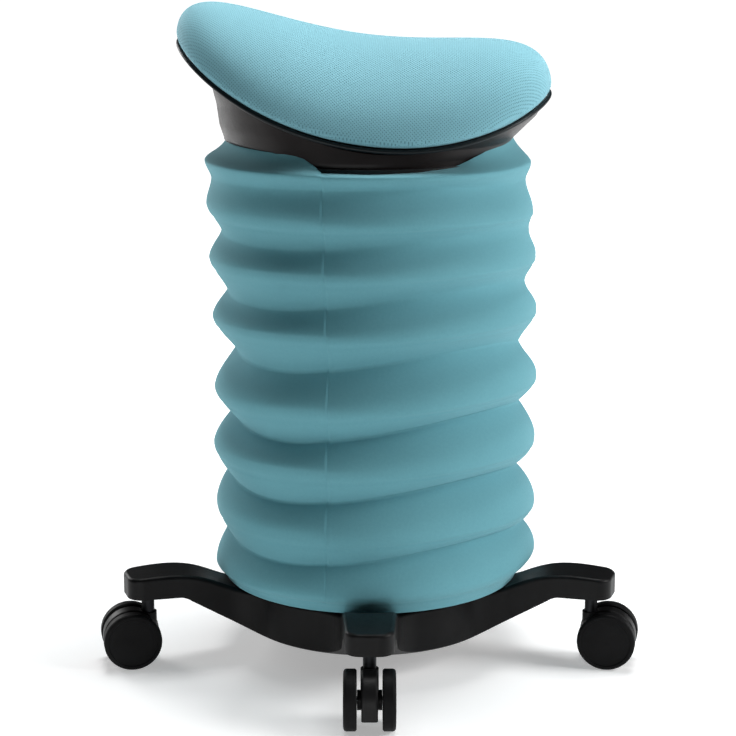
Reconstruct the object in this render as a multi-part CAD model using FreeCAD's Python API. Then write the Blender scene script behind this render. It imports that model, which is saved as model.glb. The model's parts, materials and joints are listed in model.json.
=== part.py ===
import FreeCAD, Part
import math
import os

# Wobble stool: five-arm base on twin-wheel casters, turntable, tilting joint,
# spring column, bellows sleeve and saddle seat.
# Millimetres. Origin on the floor under the column's axis, +Z up,
# -Y is the side that the front arm points to.

os.makedirs("parts", exist_ok=True)
V = FreeCAD.Vector
Z = V(0, 0, 1)

# ---------------------------------------------------------------- dimensions
# casters
WHEEL_R = 25.0            # wheel radius
WHEEL_T = 11.0            # one wheel's width
WHEEL_IN = 10.4           # inner face of a wheel from the caster's mid-plane
TRAIL = 15.0              # swivel axis to axle
STEM_R = 5.5              # 11 mm stem
JOURNAL_R = 4.5           # stem's lower end, in the hood
RUN = 0.05                # radial running clearance
HOOD_R = 24.4
HOOD_T = 13.4             # hood plate's thickness
BARREL_R = 7.4
BOSS_R = 8.2              # axle boss on the hood
AXLE_R = 3.0
AXLE_HALF = 18.4
CASTER_CIRCLE = 202.0     # radius of the stems' circle
ARM_ANGLES = (-90.0, -18.0, 59.0, 121.0, 198.0)
TRAIL_ANGLES = (-90.0, -11.0, 59.0, 121.0, 191.0)

# star base
HUB_R = 114.0
HUB_Z0, HUB_Z1 = 22.0, 62.0
ARM_HALF = 20.0           # half width of an arm at its tip
ARM_ROOT_HALF = 25.0      # half width where it leaves the hub
TIP_R = 221.0             # tip's end from the axis
TIP_CORNER = 13.0
ROOT_FILLET = 34.0
TIP_Z0 = 62.5             # underside of a tip
SOCKET_R = 8.0
SOCKET_IN = 5.8
SOCKET_TOP = 79.5

# turntable
RECESS_R, RECESS_Z = 70.0, 50.0
RACE_IN, RACE_OUT, RACE_T = 40.0, 66.0, 3.0
BALL_R, BALL_CIRCLE, BALL_N = 3.975, 53.0, 20
PLATE_R, PLATE_Z0, PLATE_Z1 = 121.0, 64.0, 68.0
PIN_R = 12.0

# tilting joint
PIVOT = 100.0
TRUNNION_R = 8.0
YOKE_IN, YOKE_OUT = 22.0, 32.0
YOKE_HALF = 14.0
YOKE_FLANGE_R = 42.0
UP_FLANGE_Z0, UP_FLANGE_Z1 = 124.0, 131.0

# column
TUBE_IN, TUBE_OUT = 20.3, 24.3
TUBE_TOP = 338.0
ROD_R, ROD_IN = 18.0, 14.0
ROD_BOTTOM = 200.0
SPRING_R, WIRE_R = 44.0, 4.5
SPRING_Z0, SPRING_Z1 = 135.0, 425.0
SPRING_COILS = 9.0
STROKE = 60.0

# sleeve: outer profile as (radius, height), from the hem up
SLEEVE_T = 1.6
CRESTS = ((141.0, 83.3), (140.5, 131.1), (140.7, 186.4), (140.9, 239.2),
          (140.9, 300.1), (140.9, 349.3), (140.0, 392.3), (139.7, 431.4))
VALLEYS = ((129.5, 109.5), (126.1, 162.2), (125.3, 216.1), (123.7, 271.2),
           (128.5, 323.0), (132.1, 372.1), (134.8, 415.7))
HEM_R, HEM_Z = 128.4, 66.3
NECK_R, NECK_Z = 125.4, 441.4

# seat
SEAT_A, SEAT_B, SEAT_N = 158.2, 122.0, 2.55    # half length, half width, corner power
SEAT_YAW = 2.4
SEAT_CX = -4.0
RIM_Z = 471.2             # rim height over the middle
RIM_AL = 1.73e-3          # rise of both ends
RIM_BE = -0.96e-3         # fall of both sides
RIM_SL = -0.14            # one end stands higher than the other
DOME, DOME1, DOME2, DOME_G = 66.1, 1.8, 7.2, 0.46
COVER_T = 2.0
PAN_T = 10.0
FLANGE_T = 4.2
DISC_R, DISC_Z0, DISC_Z1 = 116.6, 442.0, 446.0
SEAT_PLATE_Z1 = 450.0


# ------------------------------------------------------------------- helpers
def cyl(r, z0, z1, x=0.0, y=0.0):
    return Part.makeCylinder(r, z1 - z0, V(x, y, z0), Z)


def ring(r0, r1, z0, z1, x=0.0, y=0.0):
    return cyl(r1, z0, z1, x, y).cut(cyl(r0, z0 - 1, z1 + 1, x, y))


def rod_along(r, p, q):
    p, q = V(*p), V(*q)
    d = q.sub(p)
    return Part.makeCylinder(r, d.Length, p, d)


def box(x0, x1, y0, y1, z0, z1):
    return Part.makeBox(x1 - x0, y1 - y0, z1 - z0, V(x0, y0, z0))


def turned(points):
    """Solid turned about Z from a closed (r, z) outline."""
    pts = [V(r, 0, z) for r, z in points]
    face = Part.Face(Part.makePolygon(pts + [pts[0]]))
    return face.revolve(V(0, 0, 0), Z, 360)


def fused(shapes):
    s = shapes[0]
    for t in shapes[1:]:
        s = s.fuse(t)
    return s.removeSplitter()


def rotated(shape, deg, centre=(0, 0, 0)):
    s = shape.copy()
    s.rotate(V(*centre), Z, deg)
    return s


def save(name, shape):
    solids = shape.Solids
    assert solids, name
    out = solids[0] if len(solids) == 1 else Part.makeCompound(solids)
    for s in solids:
        assert s.isValid() and s.Volume > 0, name
    out.exportStep("parts/%s.step" % name)
    b = out.BoundBox
    print("%-22s %2d solid(s) %9.1f mm3  x %.1f..%.1f y %.1f..%.1f z %.1f..%.1f" % (
        name, len(solids), out.Volume, b.XMin, b.XMax, b.YMin, b.YMax, b.ZMin, b.ZMax))
    return out


def polar(r, deg):
    a = math.radians(deg)
    return r * math.cos(a), r * math.sin(a)


# ----------------------------------------------------------------- star base
def arm_plan():
    """One arm pointing along +X, seen from above, with rounded tip corners."""
    c = TIP_CORNER
    x0 = 60.0
    pts = [V(x0, -ARM_ROOT_HALF - 2.0, 0), V(TIP_R - c, -ARM_HALF, 0)]
    a0 = V(TIP_R - c, -ARM_HALF, 0)
    a1 = V(TIP_R, -ARM_HALF + c, 0)
    am = V(TIP_R - c + c * math.sin(math.pi / 4), -ARM_HALF + c - c * math.cos(math.pi / 4), 0)
    b0 = V(TIP_R, ARM_HALF - c, 0)
    b1 = V(TIP_R - c, ARM_HALF, 0)
    bm = V(TIP_R - c + c * math.sin(math.pi / 4), ARM_HALF - c + c * math.cos(math.pi / 4), 0)
    e = [Part.LineSegment(pts[0], a0).toShape(),
         Part.Arc(a0, am, a1).toShape(),
         Part.LineSegment(a1, b0).toShape(),
         Part.Arc(b0, bm, b1).toShape(),
         Part.LineSegment(b1, V(x0, ARM_ROOT_HALF + 2.0, 0)).toShape(),
         Part.LineSegment(V(x0, ARM_ROOT_HALF + 2.0, 0), pts[0]).toShape()]
    return Part.Face(Part.Wire(e))


def star_plan():
    plan = Part.makeCylinder(HUB_R, 90.0, V(0, 0, 5), Z)
    for a in ARM_ANGLES:
        arm = arm_plan().extrude(V(0, 0, 90))
        arm.translate(V(0, 0, 5))
        plan = plan.fuse(rotated(arm, a))
    plan = plan.removeSplitter()
    # round the ten inside corners where the arms leave the hub
    edges = []
    for ed in plan.Edges:
        if len(ed.Vertexes) != 2:
            continue
        p, q = ed.Vertexes[0].Point, ed.Vertexes[1].Point
        if abs(p.z - q.z) > 80 and math.hypot(p.x - q.x, p.y - q.y) < 0.1:
            if abs(math.hypot(p.x, p.y) - HUB_R) < 1.0:
                edges.append(ed)
    return plan.makeFillet(ROOT_FILLET, edges)


def star_section():
    """Half section of the base: gull-wing arms over a low round hub."""
    up = [V(116, 0, 62.4), V(130, 0, 66.2), V(148, 0, 74.2), V(163, 0, 79.4),
          V(180, 0, 82.0), V(198, 0, 82.2), V(232, 0, 80.2)]
    top = Part.BSplineCurve()
    top.interpolate(up)
    e = [Part.LineSegment(V(0, 0, HUB_Z1), V(108, 0, HUB_Z1)).toShape(),
         Part.LineSegment(V(108, 0, HUB_Z1), up[0]).toShape(),
         top.toShape(),
         Part.LineSegment(up[-1], V(232, 0, TIP_Z0 + 0.3)).toShape(),
         Part.LineSegment(V(232, 0, TIP_Z0 + 0.3), V(178, 0, TIP_Z0 - 0.2)).toShape(),
         Part.Arc(V(178, 0, TIP_Z0 - 0.2), V(173.6, 0, 61.0), V(169.5, 0, 58.5)).toShape(),
         Part.LineSegment(V(169.5, 0, 58.5), V(112.5, 0, 24.0)).toShape(),
         Part.Arc(V(112.5, 0, 24.0), V(109.4, 0, 22.5), V(106, 0, HUB_Z0)).toShape(),
         Part.LineSegment(V(106, 0, HUB_Z0), V(0, 0, HUB_Z0)).toShape(),
         Part.LineSegment(V(0, 0, HUB_Z0), V(0, 0, HUB_Z1)).toShape()]
    return Part.Face(Part.Wire(e)).revolve(V(0, 0, 0), Z, 360)


def rounded(shape, radius, pick):
    """Fillets the picked edges, one radius after another if the kernel objects."""
    for r in (radius, radius * 0.7, radius * 0.45):
        edges = [ed for ed in shape.Edges if pick(ed)]
        if not edges:
            return shape
        try:
            s = shape.makeFillet(r, edges)
            if s.isValid() and len(s.Solids) == 1:
                print("   rounded %d edges by %.2f" % (len(edges), r))
                return s
        except Exception as err:
            print("   fillet %.2f refused: %s" % (r, err))
    return shape


star = star_plan().common(star_section())
star = star.Solids[0]


def outer_edge(ed):
    b = ed.BoundBox
    m = ed.valueAt(0.5 * (ed.FirstParameter + ed.LastParameter))
    r = math.hypot(m.x, m.y)
    if b.ZLength > 18.9 and b.XLength < 1 and b.YLength < 1:
        return False
    return r > 118.0 and m.z > 63.8


star = rounded(star, 3.2, outer_edge)
print("star base", len(star.Faces), "faces, valid", star.isValid())

# bearing recess, king pin bore and the nut's counterbore
star = star.cut(cyl(RECESS_R, RECESS_Z, 90))
star = star.cut(cyl(15.0, 10, 60)).cut(cyl(20.5, 10, 32.0))
# ribbed hollow underneath the hub
well = ring(26.0, 97.0, 15, 42.0)
for i in range(10):
    a = -90.0 + 36.0 * i
    rib = rotated(box(20, 100, -2.0, 2.0, 10, 50), a)
    well = well.cut(rib)
star = star.cut(well)
# channels under the arms, each with a cross rib
for a in ARM_ANGLES:
    pts = [V(122, 0, 5), V(122, 0, 56.5), V(150, 0, 69.0), V(165, 0, 74.5),
           V(184, 0, 76.5), V(184, 0, 5)]
    slab = Part.Face(Part.makePolygon(pts + [pts[0]])).extrude(V(0, 28, 0))
    slab.translate(V(0, -14, 0))
    slab = slab.cut(box(150, 153, -20, 20, 0, 90))
    star = star.cut(rotated(slab, a))
sockets, stems, rings_ = [], [], []
for a in ARM_ANGLES:
    x, y = polar(CASTER_CIRCLE, a)
    star = star.cut(cyl(SOCKET_R, 50, SOCKET_TOP, x, y))
    sockets.append(ring(SOCKET_IN, SOCKET_R, TIP_Z0 - 0.1, SOCKET_TOP, x, y))
    stem = cyl(STEM_R, 46.6, 79.0, x, y)
    stem = stem.fuse(cyl(JOURNAL_R, 19.0, 46.6, x, y)).removeSplitter()
    stem = stem.cut(ring(4.7, 7.0, 70.0, 74.0, x, y))
    stems.append(stem)
    rings_.append(ring(4.7, SOCKET_IN, 70.2, 73.8, x, y))
star = star.removeSplitter()
# the moulding is stored as its hub and its five arms, which meet in flat faces
tips = []
hub = star
for a in ARM_ANGLES:
    beyond = rotated(box(HUB_R + 4.0, 260, -60, 60, 0, 100), a)
    tips.append(star.common(beyond).Solids[0])
    hub = hub.cut(beyond)
save("star_base", Part.makeCompound([hub.Solids[0]] + tips))
save("caster_sockets", Part.makeCompound(sockets))
save("caster_stems", Part.makeCompound(stems))
save("stem_grip_rings", Part.makeCompound(rings_))

# ------------------------------------------------------------------- casters
# built with the swivel axis on Z, the axle towards +X
HT = HOOD_T / 2
hood = turned([(0, -HT), (HOOD_R - 2.0, -HT), (HOOD_R - 1.0, -HT + 0.27), (HOOD_R - 0.27, -HT + 1.0),
               (HOOD_R, -HT + 2.0), (HOOD_R, HT - 2.0), (HOOD_R - 0.27, HT - 1.0),
               (HOOD_R - 1.0, HT - 0.27), (HOOD_R - 2.0, HT), (0, HT)])
hood.rotate(V(0, 0, 0), V(1, 0, 0), -90)
hood.translate(V(TRAIL, 0, WHEEL_R))
hood = hood.fuse(cyl(BARREL_R, 16.0, 46.4))
hood = hood.fuse(box(-0.2, TRAIL, -HOOD_T / 2, HOOD_T / 2, 16.0, 40.0))
hood = hood.fuse(rod_along(BOSS_R, (TRAIL, -10.1, WHEEL_R), (TRAIL, 10.1, WHEEL_R)))
hood = hood.cut(box(-60, 60, -30, 30, -10, 14.5))
hood = hood.removeSplitter()


hood = hood.cut(cyl(JOURNAL_R + RUN, 18.0, 60.0))
hood = hood.cut(cyl(STEM_R + 0.7, 46.4, 60.0))
hood = hood.cut(rod_along(AXLE_R, (TRAIL, -20, WHEEL_R), (TRAIL, 20, WHEEL_R)))
axle = rod_along(AXLE_R, (TRAIL, -AXLE_HALF, WHEEL_R), (TRAIL, AXLE_HALF, WHEEL_R))

# one wheel, its axis along +X first: a closed outer face, a ribbed inner side
T0, T1 = WHEEL_IN, WHEEL_IN + WHEEL_T
prof = [(0.0, T0), (8.6, T0), (8.6, T0 + 0.0), (WHEEL_R - 1.2, T0), (WHEEL_R, T0 + 1.2),
        (WHEEL_R, T1 - 2.6), (WHEEL_R - 0.55, T1 - 1.2), (WHEEL_R - 1.9, T1 - 0.35),
        (WHEEL_R - 3.6, T1 - 0.1), (WHEEL_R - 4.2, T1 - 0.7), (17.0, T1 - 0.25),
        (8.0, T1 - 0.02), (0.0, T1)]
clean = []
for p in prof:
    if not clean or (abs(p[0] - clean[-1][0]) > 1e-6 or abs(p[1] - clean[-1][1]) > 1e-6):
        clean.append(p)
wheel = turned(clean)
pocket = ring(8.6, 21.2, T0 - 1, T0 + 7.0)
for i in range(8):
    pocket = pocket.cut(rotated(box(0, 40, -0.9, 0.9, T0 + 0.8, T0 + 9), 45.0 * i))
wheel = wheel.cut(pocket)
wheel = wheel.cut(cyl(AXLE_R + RUN, T0 - 2, AXLE_HALF + 0.6))
wheel.rotate(V(0, 0, 0), V(1, 0, 0), -90)       # axis now along +Y
wheel.translate(V(TRAIL, 0, WHEEL_R))
wheel_b = wheel.copy()
wheel_b = wheel_b.mirror(V(0, 0, 0), V(0, 1, 0))

for i, (a, t) in enumerate(zip(ARM_ANGLES, TRAIL_ANGLES)):
    x, y = polar(CASTER_CIRCLE, a)
    n = i + 1

    def place(s):
        s = rotated(s, t)
        s.translate(V(x, y, 0))
        return s

    save("caster_hood_%d" % n, place(hood))
    save("axle_%d" % n, place(axle))
    save("wheel_%da" % n, place(wheel))
    save("wheel_%db" % n, place(wheel_b))

# ----------------------------------------------------------------- turntable
save("lower_race", ring(RACE_IN, RACE_OUT, RECESS_Z, RECESS_Z + RACE_T))
zc = RECESS_Z + RACE_T + 4.0
cage = ring(46.0, 60.0, zc - 1.6, zc + 1.6)
balls = []
for i in range(BALL_N):
    x, y = polar(BALL_CIRCLE, 360.0 / BALL_N * i)
    cage = cage.cut(cyl(BALL_R + 0.15, zc - 5, zc + 5, x, y))
    balls.append(Part.makeSphere(BALL_R, V(x, y, zc)))
save("ball_cage", cage)
save("bearing_balls", Part.makeCompound(balls))
save("king_pin_bush", ring(PIN_R + RUN, 15.0, 32.0, RECESS_Z))
save("upper_race", ring(RACE_IN, RACE_OUT, zc + 4.0, PLATE_Z0))

swivel_plate = cyl(PLATE_R, PLATE_Z0, PLATE_Z1).cut(cyl(PIN_R, 60, 70))
bolt_spots = [polar(35.0, 45.0 + 90.0 * i) for i in range(4)]
for x, y in bolt_spots:
    swivel_plate = swivel_plate.cut(cyl(4.0, 60, 72, x, y))
for i in range(6):
    x, y = polar(98.0, 60.0 * i)
    swivel_plate = swivel_plate.cut(cyl(9.0, 60, 72, x, y))
save("swivel_plate", swivel_plate)

pin = cyl(PIN_R, 31.5, 68.0).fuse(cyl(9.0, 22.6, 31.5))
save("king_pin", pin.removeSplitter())
hexa = Part.Face(Part.makePolygon([V(*polar(15.0, 60.0 * i), 22.8) for i in range(7)]))
nut = hexa.extrude(V(0, 0, 6.2)).cut(cyl(9.0, 20, 32))
save("king_pin_nut", Part.makeCompound([nut, ring(9.0, 19.0, 29.0, 31.5)]))

# ------------------------------------------------------------- tilting joint
lower = cyl(YOKE_FLANGE_R, 68.0, 75.0)
for s in (-1, 1):
    x0, x1 = sorted((s * YOKE_IN, s * YOKE_OUT))
    ear = box(x0, x1, -YOKE_HALF, YOKE_HALF, 70.0, PIVOT)
    ear = ear.fuse(rod_along(YOKE_HALF, (x0, 0, PIVOT), (x1, 0, PIVOT)))
    lower = lower.fuse(ear)
lower = lower.cut(rod_along(10.5, (-50, 0, PIVOT), (50, 0, PIVOT)))
for x, y in bolt_spots:
    lower = lower.cut(cyl(4.0, 60, 80, x, y))
save("lower_yoke", lower.removeSplitter())
bushes = [rod_along(10.5, (s * YOKE_IN, 0, PIVOT), (s * YOKE_OUT, 0, PIVOT)).cut(
    rod_along(TRUNNION_R + RUN, (-60, 0, PIVOT), (60, 0, PIVOT))) for s in (-1, 1)]
save("lower_yoke_bushes", Part.makeCompound(bushes))
bolts = []
for x, y in bolt_spots:
    b = cyl(4.0, PLATE_Z0 + 0.2, 75.0, x, y)
    h = Part.Face(Part.makePolygon([V(x + 6.8 * math.cos(math.radians(60 * k)),
                                      y + 6.8 * math.sin(math.radians(60 * k)), 75.0)
                                    for k in range(7)])).extrude(V(0, 0, 4.6))
    bolts.append(b.fuse(h).removeSplitter())
save("lower_yoke_bolts", Part.makeCompound(bolts))

cross = box(-13, 13, -13, 13, PIVOT - 12, PIVOT + 12)
cross = rounded(cross, 2.0, lambda ed: True)
cross = cross.fuse(rod_along(TRUNNION_R, (-YOKE_OUT, 0, PIVOT), (YOKE_OUT, 0, PIVOT)))
cross = cross.fuse(rod_along(TRUNNION_R, (0, -YOKE_OUT, PIVOT), (0, YOKE_OUT, PIVOT)))
cross = cross.fuse(rod_along(11.0, (-18, 0, PIVOT), (18, 0, PIVOT)))
cross = cross.fuse(rod_along(11.0, (0, -18, PIVOT), (0, 18, PIVOT)))
save("joint_cross", cross.removeSplitter())

upper = cyl(YOKE_FLANGE_R, UP_FLANGE_Z0, UP_FLANGE_Z1)
for s in (-1, 1):
    y0, y1 = sorted((s * YOKE_IN, s * YOKE_OUT))
    ear = box(-YOKE_HALF, YOKE_HALF, y0, y1, PIVOT, UP_FLANGE_Z0 + 2)
    ear = ear.fuse(rod_along(YOKE_HALF, (0, y0, PIVOT), (0, y1, PIVOT)))
    upper = upper.fuse(ear)
upper = upper.cut(rod_along(10.5, (0, -50, PIVOT), (0, 50, PIVOT)))
save("upper_yoke", upper.removeSplitter())
bushes = [rod_along(10.5, (0, s * YOKE_IN, PIVOT), (0, s * YOKE_OUT, PIVOT)).cut(
    rod_along(TRUNNION_R + RUN, (0, -60, PIVOT), (0, 60, PIVOT))) for s in (-1, 1)]
save("upper_yoke_bushes", Part.makeCompound(bushes))

# rubber ring that holds the column upright and lets it lean
buffer_ = turned([(47, 68.0), (62, 68.0), (62, 74), (58.5, 84), (57.5, 99.5), (58.5, 115),
                  (62, 125), (62, 130.8), (47, 130.8)])
save("lean_buffer", buffer_)

# -------------------------------------------------------------------- column
seat_lo = turned([(TUBE_OUT, 131.0), (63.0, 131.0), (63.0, 139.0), (60.0, 139.0), (60.0, 135.0),
                  (38.6, 135.0), (38.6, 147.0), (34.0, 150.0), (TUBE_OUT, 150.0)])
save("lower_spring_seat", seat_lo)
save("guide_tube", ring(TUBE_IN, TUBE_OUT, UP_FLANGE_Z1, TUBE_TOP))
b1 = ring(ROD_R + RUN, TUBE_IN, TUBE_TOP - 30, TUBE_TOP).fuse(
    ring(ROD_R + RUN, 27.0, TUBE_TOP, TUBE_TOP + 3.0)).removeSplitter()
b2 = ring(ROD_R + RUN, TUBE_IN, 232.0, 252.0)
save("guide_bushes", Part.makeCompound([b1, b2]))
save("bump_stop", turned([(19.2, 341.0), (27.5, 341.0), (27.5, 346.0), (24.5, 349.0), (27.0, 353.0),
                          (24.0, 357.0), (25.5, 360.5), (24.0, 364.4), (19.2, 364.4)]))

# coil spring: constant pitch between its two seats, ends ground flat
pitch = (SPRING_Z1 - SPRING_Z0 - 2 * WIRE_R) / SPRING_COILS
helix = Part.makeHelix(pitch, pitch * SPRING_COILS, SPRING_R)
helix.translate(V(0, 0, SPRING_Z0 + WIRE_R + 0.15))
start = helix.Edges[0].valueAt(helix.Edges[0].FirstParameter)
tang = helix.Edges[0].tangentAt(helix.Edges[0].FirstParameter)
disc = Part.Wire(Part.makeCircle(WIRE_R - 0.1, start, tang))
spring = Part.Wire(helix.Edges).makePipeShell([disc], True, True)
save("coil_spring", Part.Solid(spring.Shells[0]) if not spring.Solids else spring)

# ----------------------------------------------------------------- seat side
rod = ring(ROD_IN, ROD_R, ROD_BOTTOM, 438.0).fuse(ring(ROD_IN, 38.0, 438.0, DISC_Z0)).removeSplitter()
flange_spots = [polar(29.0, 45.0 + 90.0 * i) for i in range(4)]
for x, y in flange_spots:
    rod = rod.cut(cyl(3.0, 430, 450, x, y))
save("inner_rod", rod)
save("rod_stop_ring", ring(ROD_R, TUBE_IN - 0.3, 222.0, 231.6))
seat_up = turned([(ROD_R, 409.0), (34.0, 409.0), (38.6, 412.0), (38.6, 425.0), (54.0, 425.0),
                  (54.0, 429.0), (30.0, 429.0), (30.0, 433.6), (ROD_R, 433.6)])
seat_up = seat_up.cut(ring(ROD_R - 1, 29.0, 400.0, 425.5))
save("upper_spring_seat", seat_up)

disc_ = cyl(DISC_R, DISC_Z0, DISC_Z1)
for x, y in flange_spots:
    disc_ = disc_.cut(cyl(3.0, 430, 460, x, y))
pan_spots = [polar(66.0, 45.0 + 90.0 * i) for i in range(4)]
for x, y in pan_spots:
    disc_ = disc_.cut(cyl(4.0, 430, 460, x, y))
save("carrier_disc", disc_)
save("sleeve_top_ring", turned([(112.0, 433.0), (124.0, 433.0), (124.0, 439.0), (118.0, 439.0),
                                (118.0, DISC_Z0), (112.0, DISC_Z0)]))
plate = box(-75, 75, -75, 75, DISC_Z1, SEAT_PLATE_Z1)
plate = plate.common(cyl(90, 440, 455))
for x, y in flange_spots:
    plate = plate.cut(cyl(3.0, 430, 460, x, y))
for x, y in pan_spots:
    plate = plate.cut(cyl(4.0, 430, 460, x, y))
save("seat_plate", plate)


# the saddle surface that the seat's rim lies on, in the seat's own axes
def rim(x, y):
    return RIM_Z + RIM_AL * x * x + RIM_BE * y * y + RIM_SL * x


def seat_place(s):
    s = rotated(s, -SEAT_YAW)
    s.translate(V(SEAT_CX, 0, 0))
    return s


def outline(a, b, n=SEAT_N, count=48):
    pts = []
    for i in range(count):
        t = 2 * math.pi * i / count
        c, s = math.cos(t), math.sin(t)
        pts.append(V(a * math.copysign(abs(c) ** (2 / n), c),
                     b * math.copysign(abs(s) ** (2 / n), s), 0))
    # rotational start off the axis keeps the points evenly spread
    return pts


def prism(a, b, z0=400.0, z1=620.0):
    c = Part.BSplineCurve()
    c.interpolate(outline(a, b), PeriodicFlag=True)
    f = Part.Face(Part.Wire(c.toShape()))
    f.translate(V(0, 0, z0))
    return f.extrude(V(0, 0, z1 - z0))


def above(off):
    """Everything over the saddle surface moved by off."""
    wires = []
    for x in (-190, -150, -110, -70, -30, 10, 50, 90, 130, 170, 190):
        c = Part.BSplineCurve()
        c.interpolate([V(x, y, rim(x, y) + off) for y in (-170, -120, -80, -40, 0, 40, 80, 120, 170)])
        p0, p1 = V(x, -170, rim(x, -170) + off), V(x, 170, rim(x, 170) + off)
        q0, q1 = V(x, -170, 700), V(x, 170, 700)
        wires.append(Part.Wire([c.toShape(), Part.LineSegment(p1, q1).toShape(),
                                Part.LineSegment(q1, q0).toShape(), Part.LineSegment(q0, p0).toShape()]))
    return Part.makeLoft(wires, True, False, False)


def dome(inset, low, name):
    """Crowned cushion body over the saddle surface, lofted end to end."""
    a, b, n = SEAT_A - inset, SEAT_B - inset, SEAT_N
    sections = []
    count = 17
    for i in range(count):
        t = -math.pi / 2 + math.pi * i / (count - 1)
        x = a * math.sin(t)
        if i in (0, count - 1):
            x = math.copysign(a, x)
            sections.append(Part.Vertex(V(x, 0, rim(x, 0) + low)))
            continue
        w = b * max(0.0, 1 - abs(x / a) ** n) ** (1 / n)
        bot, top = [], []
        m = 10
        for j in range(-m, m + 1):
            y = w * math.sin(math.pi / 2 * j / m)
            rho = min(1.0, (abs(x / a) ** n + abs(y / b) ** n)) ** (1 / n)
            h = (DOME - inset + DOME1 * x / 100 + DOME2 * (x / 100) ** 2) * max(0.0, 1 - rho * rho) ** DOME_G
            bot.append(V(x, y, rim(x, y) + low))
            top.append(V(x, y, rim(x, y) + low + max(0.0, h - low)))
        top[0], top[-1] = bot[0], bot[-1]
        cb, ct = Part.BSplineCurve(), Part.BSplineCurve()
        cb.interpolate(bot)
        ct.interpolate(top[::-1])
        sections.append(Part.Wire([cb.toShape(), ct.toShape()]))
    s = Part.makeLoft(sections, True, False, False)
    print("   %s loft valid %s volume %.0f" % (name, s.isValid(), s.Volume))
    return s


foam = dome(COVER_T + 0.9, 0.0, "foam")
outer = dome(0.0, 0.0, "cover")
cover = outer.cut(dome(COVER_T, -4.0, "cover's inside"))
cover = Part.makeCompound(sorted(cover.Solids, key=lambda s: -s.Volume)[:1])
save("seat_foam", seat_place(foam))
save("seat_cover", seat_place(cover))

# a thin flange out to the rim over a smaller, thicker body
pan_top, pan_bot = above(-0.3), above(-PAN_T)
flange = prism(SEAT_A - 4.2, SEAT_B - 4.2).common(above(-FLANGE_T)).cut(pan_top)
pan = prism(SEAT_A - 32.0, SEAT_B - 32.0).common(pan_bot).cut(pan_top)
pan = pan.fuse(flange)
bosses = None
inv = FreeCAD.Placement(V(0, 0, 0), FreeCAD.Rotation(Z, 0))
a = math.radians(SEAT_YAW)
for x, y in pan_spots:
    xs, ys = x - SEAT_CX, y
    xl = xs * math.cos(a) - ys * math.sin(a)
    yl = xs * math.sin(a) + ys * math.cos(a)
    pillar = cyl(11.0, SEAT_PLATE_Z1, 560, xl, yl).cut(pan_bot)
    pan = pan.fuse(pillar)
pan = seat_place(pan.removeSplitter())
inserts, bolts = [], []
for x, y in pan_spots:
    pan = pan.cut(cyl(5.6, 440, 462.0, x, y))
    inserts.append(ring(4.0, 5.6, SEAT_PLATE_Z1, 461.0, x, y))
    b = cyl(4.0, DISC_Z0, 460.0, x, y).fuse(cyl(7.0, DISC_Z0 - 4.0, DISC_Z0, x, y))
    bolts.append(b.removeSplitter())
for x, y in flange_spots:
    b = cyl(3.0, 438.0, SEAT_PLATE_Z1, x, y).fuse(cyl(5.0, 434.6, 438.0, x, y))
    bolts.append(b.removeSplitter())
save("seat_pan", pan)
save("threaded_inserts", Part.makeCompound(inserts))
save("seat_bolts", Part.makeCompound(bolts))

piping = prism(SEAT_A + 0.6, SEAT_B + 0.6).cut(prism(SEAT_A - 4.0, SEAT_B - 4.0))
piping = piping.common(above(-4.3)).cut(above(-0.3))
save("seat_piping", seat_place(piping))


# vinyl skirt from the pan's edge down to the carrier disc
def skirt_body(grow):
    wires = []
    # height, left and right reach in the seat's axes, half width
    for z, xl, xr, rb in ((443.0, 119.5, 124.0, 119.8), (452.0, 120.0, 126.0, 118.6),
                          (463.0, 123.5, 137.0, 117.5), (472.0, 124.5, 146.0, 117.5),
                          (482.0, 125.5, 151.5, 117.6), (505.0, 131.0, 153.0, 117.8),
                          (530.0, 144.0, 153.5, 117.9), (560.0, 153.5, 153.5, 117.9)):
        c = Part.BSplineCurve()
        k = (z - 443.0) / 117.0
        n = 2.0 + (SEAT_N - 2.0) * min(1.0, 2.5 * k)
        pts = outline(0.5 * (xl + xr) + grow, rb + grow, n)
        c.interpolate([V(p.x + 0.5 * (xr - xl), p.y, z) for p in pts], PeriodicFlag=True)
        wires.append(Part.Wire(c.toShape()))
    return Part.makeLoft(wires, True, False, False)


skirt = skirt_body(0.0).cut(skirt_body(-1.8))
skirt = skirt.cut(above(-FLANGE_T - 0.3))
skirt = seat_place(skirt)
skirt = Part.makeCompound(sorted(skirt.Solids, key=lambda s: -s.Volume)[:1])
save("seat_skirt", skirt)

# -------------------------------------------------------------------- sleeve
save("sleeve_bottom_ring", turned([(121.0, 64.4), (122.6, 64.9), (126.2, 66.2), (126.2, 74.0),
                                   (123.4, 74.0), (123.4, 68.4), (121.0, 68.4)]))


def sleeve_outline(inset):
    pts = [V(HEM_R - inset, 0, HEM_Z), V(130.6 - inset, 0, 69.5)]
    for i, (r, z) in enumerate(CRESTS):
        pts.append(V(r - inset, 0, z))
        if i < len(VALLEYS):
            pts.append(V(VALLEYS[i][0] - inset, 0, VALLEYS[i][1]))
    pts.append(V(135.6 - inset, 0, 437.0))
    pts.append(V(130.4 - inset, 0, 439.8))
    pts.append(V(NECK_R - inset, 0, NECK_Z))
    return pts


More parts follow.
